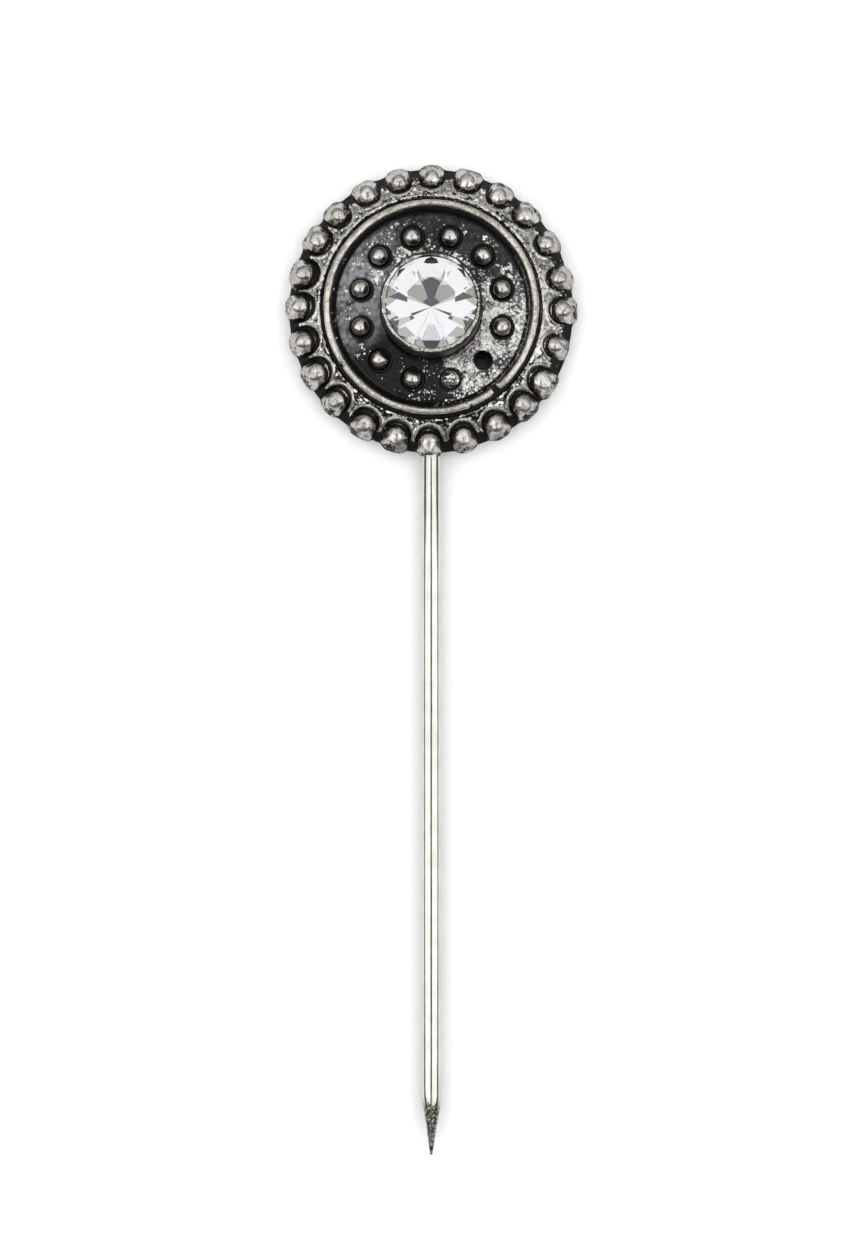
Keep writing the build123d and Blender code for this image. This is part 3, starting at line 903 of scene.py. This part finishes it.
def stone_cup():
    """The turned cup: a rolled lip over the stone, an outer wall, and the conical seat inside."""
    clocks = clocks_round(CUP_STEPS)
    lip = stone_radius - CUP_LIP_REACH
    inside = cup_radius - CUP_WALL
    seat = cup_low[2] + CUP_FLOOR
    profile = [(0.02, seat), (inside, seat + inside * SEAT_SLOPE), (inside, cup_top - 0.12),
               (lip + 0.02, cup_top - 0.13), (lip, cup_top - 0.09), (lip + 0.03, cup_top - 0.04),
               (lip + 0.09, cup_top - 0.01), (lip + 0.16, cup_top),
               (cup_radius - LIP_ROUND, cup_top - 0.005)]
    profile += arc_points((cup_radius - LIP_ROUND, cup_top - 0.165), LIP_ROUND, radians(80), 0, 6)
    profile += [(cup_radius, z) for z in np.linspace(cup_top - 0.3, field_z + 0.25, 10)]
    profile += [(cup_radius - 0.02, field_z + 0.12), (cup_radius, field_z - 0.05),
                (cup_radius - 0.05, field_z - 0.1), (HUB_RADIUS, field_z - 0.1), (HUB_RADIUS, cup_low[2]),
                (0.02, cup_low[2])]
    points = turned(profile, clocks)
    outer = ramp(np.hypot(points[..., 0], points[..., 1]), lip - 0.02, lip + 0.1)
    outer = outer * ramp(points[..., 2], field_z, cup_top)
    points[..., :2] *= (1 - 0.006 * (1 + noise(points, 0.9, 71)) * outer)[..., None]
    across = np.hypot(points[..., 0], points[..., 1])
    bare = 0.2 + by_clock(clocks, LIP_WEAR) * ridge(across - lip, 0.13, 0.09)
    bare = bare + 0.12 * noise(points, 0.5, 72)
    # Painted shade: the cup is made darker at its foot, next to the enamel.
    bare = np.where(points[..., 2] < field_z + 0.5, bare - 0.1, bare)
    return closed_turn("cup_wall", points, bare)


# ---- crystal
TABLE_RADIUS = 1.5
CROWN_TILT = 33.0
STAR_TILT = 21.0
PAVILION_TILT = 42.5
LOWER_GIRDLE_TILT = 46.0
STONE_FOLD = 8
TABLE_Z = stone_high[2] - 0.02
GIRDLE_Z = cup_top - 0.24
GIRDLE_HALF = 0.05           # the facets start this far above and below the girdle
CROWN_START = 0.995 * stone_radius
PAVILION_START = 0.955 * stone_radius
FOIL_EDGE = 0.06             # from the girdle down to the foil's rim
FOIL_GAP = 0.004
FOIL_THICKNESS = 0.024


def cut(work, point, normal):
    """Cuts away what lies beyond a plane and closes the cut with one facet."""
    parts = work.verts[:] + work.edges[:] + work.faces[:]
    made = bmesh.ops.bisect_plane(work, geom=parts, plane_co=point, plane_no=normal, clear_outer=True)
    edges = [e for e in made["geom_cut"] if isinstance(e, bmesh.types.BMEdge)]
    if edges:
        bmesh.ops.contextual_create(work, geom=edges)


def facet(work, radius, clock, z, tilt, down=False):
    """One facet through the point at that radius, clock angle and height, tilted from level."""
    lean = radians(tilt)
    normal = on_clock(sin(lean), clock, -cos(lean) if down else cos(lean))
    cut(work, tuple(on_clock(radius, clock, z)), tuple(normal))


def crystal():
    """A pointed-back brilliant: table, stars and kites above, mains and halves below."""
    work = bmesh.new()
    bmesh.ops.create_cone(work, cap_ends=True, segments=96, radius1=stone_radius, radius2=stone_radius,
                          depth=stone_high[2] - stone_low[2] + 0.2)
    bmesh.ops.translate(work, verts=work.verts, vec=(0, 0, (stone_high[2] + stone_low[2]) / 2))
    cut(work, (0, 0, TABLE_Z), (0, 0, 1))
    turn = 360 / STONE_FOLD
    under = GIRDLE_Z - GIRDLE_HALF
    for n in range(STONE_FOLD):
        facet(work, PAVILION_START, n * turn, under, PAVILION_TILT, down=True)
        facet(work, TABLE_RADIUS, n * turn, TABLE_Z, STAR_TILT)
        for side in (0.25, 0.75):
            facet(work, CROWN_START, (n + side) * turn, GIRDLE_Z + GIRDLE_HALF, CROWN_TILT)
            facet(work, PAVILION_START, (n + side) * turn, under, LOWER_GIRDLE_TILT, down=True)
    points = np.array([v.co[:] for v in work.verts])
    faces = [[v.index for v in f.verts] for f in work.faces]
    work.free()
    return outward(add_mesh("crystal_stone", points, faces, smooth=False))


def crystal_foil(stone):
    """The mirror foil: the stone's lower facets moved out by a hair, as an open cup with thickness."""
    work = bmesh.new()
    work.from_mesh(stone.data)
    bmesh.ops.scale(work, vec=(1 / MM,) * 3, verts=work.verts)
    cut(work, (0, 0, GIRDLE_Z - FOIL_EDGE), (0, 0, 1))
    tops = [f for f in work.faces if f.normal.z > 0.9]
    bmesh.ops.delete(work, geom=tops, context="FACES_ONLY")
    work.normal_update()
    points = np.array([v.co[:] for v in work.verts])
    normals = np.array([v.normal[:] for v in work.verts])
    faces = [[v.index for v in f.verts] for f in work.faces]
    rim = [(e.verts[0].index, e.verts[1].index) for e in work.edges if len(e.link_faces) == 1]
    work.free()
    count = len(points)
    inner = points + normals * FOIL_GAP
    outer = points + normals * (FOIL_GAP + FOIL_THICKNESS)
    every = [f[::-1] for f in faces] + [[i + count for i in f] for f in faces]
    every += [(a, b, b + count, a + count) for a, b in rim]
    return outward(add_mesh("foil_cup", np.concatenate([inner, outer]), every, smooth=False))


# ---- shaft
SHAFT_STEPS = 128
POINT_LENGTH = 3.5
SEAT_RADIUS = 0.45
TIP_RADIUS = 0.1
SHOULDER = head_radius - 0.26    # how far down the shaft's full width starts, under its lobe's foot


def shaft():
    """Drawn wire with a softly ground, round-tipped point."""
    start = shaft_tip + POINT_LENGTH
    along = [(0.02, shaft_end), (SEAT_RADIUS - 0.1, shaft_end), (SEAT_RADIUS, shaft_end - 0.1),
             (SEAT_RADIUS, -SHOULDER), (shaft_radius - 0.01, -SHOULDER), (shaft_radius, -SHOULDER - 0.02)]
    along += [(shaft_radius, y) for y in np.linspace(-SHOULDER - 0.3, start + 0.5, 120)]
    for part in np.linspace(0, 1, 80):
        taper = 1 - part - 0.035 * sin(pi * part) ** 2
        y = start - part * (POINT_LENGTH - TIP_RADIUS)
        along.append((TIP_RADIUS + (shaft_radius - TIP_RADIUS) * taper, y))
    along += arc_points((0, shaft_tip + TIP_RADIUS), TIP_RADIUS, -0.25, -1.5, 8)

    along = np.array(along)
    angle = np.radians(clocks_round(SHAFT_STEPS))
    radius, y, angle = np.broadcast_arrays(along[:, :1], along[:, 1:], angle)
    # The left side of the point was ground a little further up than the right.
    leftness = np.clip(np.cos(angle - 1.5 * pi), 0, 1)
    radius = radius * (1 - 0.08 * ramp(y, start + 0.7, start - 0.6) * leftness**2)
    points = np.stack([radius * np.sin(angle), y, shaft_z + radius * np.cos(angle)], axis=-1)
    ragged = y + 0.25 * noise(points, 0.25, 93)
    on_point = ramp(ragged, start + 0.1 + 0.35 * leftness, start - 0.45 + 0.35 * leftness)
    rough = (0.02 * noise(points, 0.3, 91) + 0.015 * noise(points, 0.13, 92) - 0.015) * on_point
    points[..., 0] *= 1 + rough
    points[..., 2] = shaft_z + (points[..., 2] - shaft_z) * (1 + rough)
    return closed_turn("shaft_wire", points, 1 - on_point)


# ---- camera, lights and floor
CAMERA_HEIGHT = 113.0
CAMERA_X = 0.05
CAMERA_Y = -20.0
LENS = 50.0
PANEL_HEIGHT = 0.5           # in metres, as are the next two
FILL_HEIGHT = 0.6
STONE_PANEL_HEIGHT = 0.4
FLOOR_SIZE = 500.0           # half of its side
FLOOR_Z = -0.01
WARM = (1, 0.96, 0.84)
WHITE = (1, 1, 1)


def camera():
    data = bpy.data.cameras.new("camera")
    data.lens = LENS
    data.clip_start = 0.001
    data.clip_end = 10.0
    place = (CAMERA_X * MM, CAMERA_Y * MM, CAMERA_HEIGHT * MM)
    bpy.context.scene.camera = add_object("camera", data, place)


def light_panel(name, height, left, right, near, far, radiance, tint=WHITE):
    """A level rectangle of light over the object. Its edges are degrees from the zenith, towards +X for
    left and right, and towards +Y for near and far."""
    west, east, south, north = (height * tan(radians(edge)) for edge in (left, right, near, far))
    data = bpy.data.lights.new(name, "AREA")
    data.shape = "RECTANGLE"
    data.size = east - west
    data.size_y = north - south
    data.energy = radiance * pi * data.size * data.size_y
    data.color = tint
    return add_object(name, data, ((west + east) / 2, (south + north) / 2, height))


def pale_world():
    """Dim light from all round. The camera sees a pale backdrop in its place."""
    world = bpy.data.worlds.new("world")
    world.use_nodes = True
    nodes, links = world.node_tree.nodes, world.node_tree.links
    seen = nodes.new("ShaderNodeLightPath").outputs["Is Camera Ray"]
    colour = nodes.new("ShaderNodeMix")
    colour.data_type = "RGBA"
    colour.inputs[6].default_value = (0.11, 0.11, 0.12, 1)
    colour.inputs[7].default_value = (0.97, 0.97, 0.97, 1)
    links.new(seen, colour.inputs[0])
    links.new(colour.outputs[2], nodes["Background"].inputs["Color"])
    return world


def lights():
    for name, *edges, radiance in (
        ("left_panel", -76, -9, -42, 5, 1.45),
        ("right_panel", 9, 76, -42, 5, 1.45),
        ("top_panel", -60, 60, 5, 36, 1.05),
        ("far_panel", -60, 60, 36, 72, 0.55),
    ):
        panel = light_panel(name, PANEL_HEIGHT, *edges, radiance)
        panel.visible_transmission = False
    fill = light_panel("floor_fill", FILL_HEIGHT, -60, 60, -60, 60, 0.5)
    fill.visible_glossy = False
    fill.visible_transmission = False
    # Panels that only show through the crystal.
    for name, *edges, radiance, tint in (
        ("stone_left", -70, -11, -44, -15, 0.5, WARM),
        ("stone_right", 11, 70, -44, -15, 0.5, WARM),
        ("stone_top", -36, 36, -1, 34, 0.85, WHITE),
        ("stone_middle", -7, 7, -9, -1, 0.8, WHITE),
        ("stone_flank_left", -22, -8, -9, -1, 0.36, WARM),
        ("stone_flank_right", 8, 22, -9, -1, 0.36, WARM),
        ("stone_far_left", -70, -9, 42, 74, 0.95, WHITE),
        ("stone_far_right", 3, 70, 42, 74, 0.95, WHITE),
        ("stone_side_left", -78, -48, 12, 34, 0.95, WHITE),
        ("stone_side_right", 48, 78, 12, 34, 0.95, WHITE),
        ("stone_near", -66, 66, -80, -48, 0.95, WHITE),
    ):
        panel = light_panel(name, STONE_PANEL_HEIGHT, *edges, radiance, tint)
        panel.visible_glossy = False
        panel.visible_diffuse = False


def studio():
    lights()
    scene = bpy.context.scene
    scene.world = pale_world()
    scene.view_settings.view_transform = "Standard"
    scene.view_settings.look = "None"
    corners = [(x * FLOOR_SIZE, y * FLOOR_SIZE, FLOOR_Z) for x, y in ((-1, -1), (1, -1), (1, 1), (-1, 1))]
    floor = add_mesh("floor", corners, [(0, 1, 2, 3)])
    floor.data.materials.append(white_floor())


# ---- the object
finish_piece(head_border(), head_metal, "head_metal", "head_casting")
coat, web = field_pieces()
finish_piece(coat, enamel, "field_enamel", "field_enamel")
finish_piece(web, head_metal, "head_metal", "head_casting")
finish_piece(field_ring(), ring_metal, "ring_metal", "field_ring")
for place in studs:
    finish_piece(bead_stud(place), stud_metal, "stud_metal", f"bead_stud_{place:02d}")
finish_piece(stone_cup(), cup_metal, "cup_metal", "stone_cup")
stone = crystal()
finish_piece(crystal_foil(stone), mirror_foil(), "crystal_foil", "crystal_foil")
finish_piece(stone, crystal_glass(), "crystal", "crystal")
finish_piece(shaft(), polished_steel(), "shaft_metal", "pin_shaft")
repaint("back_plate", brushed_plate())
repaint("stone_cement", plain_mottled("cement", (0.55, 0.5, 0.4), (0.75, 0.72, 0.62), 0.0, 0.6))
repaint("shaft_solder", plain_mottled("solder", (0.35, 0.35, 0.35), (0.6, 0.6, 0.6), 1.0, 0.4))

camera()
studio()
